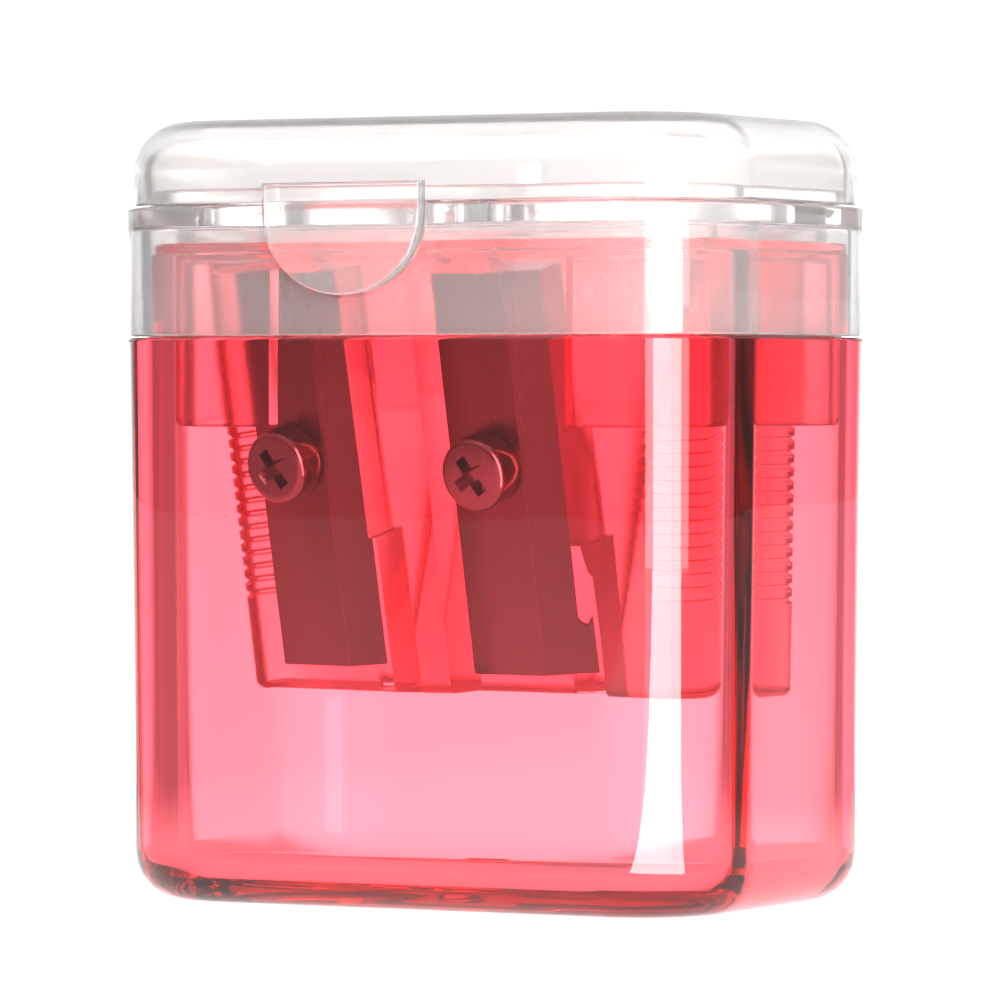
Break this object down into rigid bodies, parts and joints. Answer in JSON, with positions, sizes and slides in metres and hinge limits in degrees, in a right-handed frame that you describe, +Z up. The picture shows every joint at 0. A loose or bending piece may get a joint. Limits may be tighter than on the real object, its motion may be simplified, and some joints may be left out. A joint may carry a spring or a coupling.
{
  "type": "pencil sharpener",
  "caption": "Two-hole pencil sharpener in a translucent shavings receptacle, with screwed-on blades, a clear collar and a hinged clear lid with a thumb tongue.",
  "frame": {"origin": "middle of the receptacle's flat base, on the surface it stands on", "axes": "+Z up, +Y towards the hinge at the back, +X to the right seen from the front"},
  "size_m": [0.0402, 0.0295, 0.045],
  "materials": {
    "red_plastic": "glossy translucent red",
    "clear_plastic": "glossy, slightly milky clear",
    "blade_steel": "ground",
    "screw_steel": "bright plated"
  },
  "bodies": {
    "receptacle": {"receptacle": "red_plastic"},
    "sharpener": {"sharpener_insert": "red_plastic", "blade_small": "blade_steel", "blade_large": "blade_steel", "screw_small": "screw_steel", "screw_large": "screw_steel"},
    "collar": {"collar": "clear_plastic"},
    "lid": {"lid": "clear_plastic"}
  },
  "joints": [
    {"name": "insert_lift", "type": "slide", "parent": "receptacle", "child": "sharpener", "axis": [0, 0, 1], "range_m": [0, 0.03]},
    {"name": "collar_lift", "type": "slide", "parent": "sharpener", "child": "collar", "axis": [0, 0, 1], "range_m": [0, 0.012]},
    {"name": "lid_hinge", "type": "hinge", "parent": "collar", "child": "lid", "pos_m": [0, 0.0144, 0.0401], "axis": [-1, 0, 0], "range_deg": [0, 150]}
  ]
}
